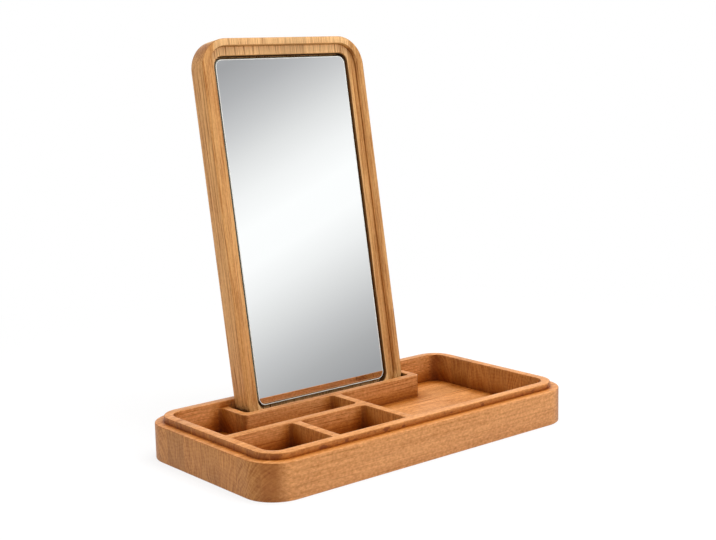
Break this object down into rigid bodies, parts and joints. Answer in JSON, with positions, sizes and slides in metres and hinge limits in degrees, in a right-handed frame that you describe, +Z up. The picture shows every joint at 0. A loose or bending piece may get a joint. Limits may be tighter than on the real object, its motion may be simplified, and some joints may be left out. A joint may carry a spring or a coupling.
{
  "type": "mirror with storage box",
  "caption": "Table mirror in a rounded wooden frame that stands in a slot of a low wooden box with compartments and can lie on the box as its lid.",
  "frame": {"origin": "middle of the box's underside", "axes": "+Z up, +Y towards the back, along the way the mirror leans, +X to the right along the box's long side"},
  "size_m": [0.285, 0.179, 0.2907],
  "materials": {
    "box_wood": "oiled, satin",
    "frame_wood": "oiled, satin",
    "mirror": "polished",
    "tape": "foam tape"
  },
  "bodies": {
    "box": {"box_stave_1": "box_wood", "box_stave_2": "box_wood", "box_stave_3": "box_wood", "box_stave_4": "box_wood", "box_stave_5": "box_wood", "box_stave_6": "box_wood", "box_stave_7": "box_wood", "box_stave_8": "box_wood"},
    "mirror": {"frame_stave_1": "frame_wood", "frame_stave_2": "frame_wood", "frame_stave_3": "frame_wood", "frame_stave_4": "frame_wood", "frame_stave_5": "frame_wood", "frame_stave_6": "frame_wood", "frame_stave_7": "frame_wood", "frame_stave_8": "frame_wood", "mirror_glass": "mirror", "mounting_tape": "tape"}
  },
  "joints": [
    {"name": "mirror_lift", "type": "slide", "parent": "box", "child": "mirror", "axis": [0, 0.1633, 0.9866], "range_m": [0, 0.045]}
  ]
}
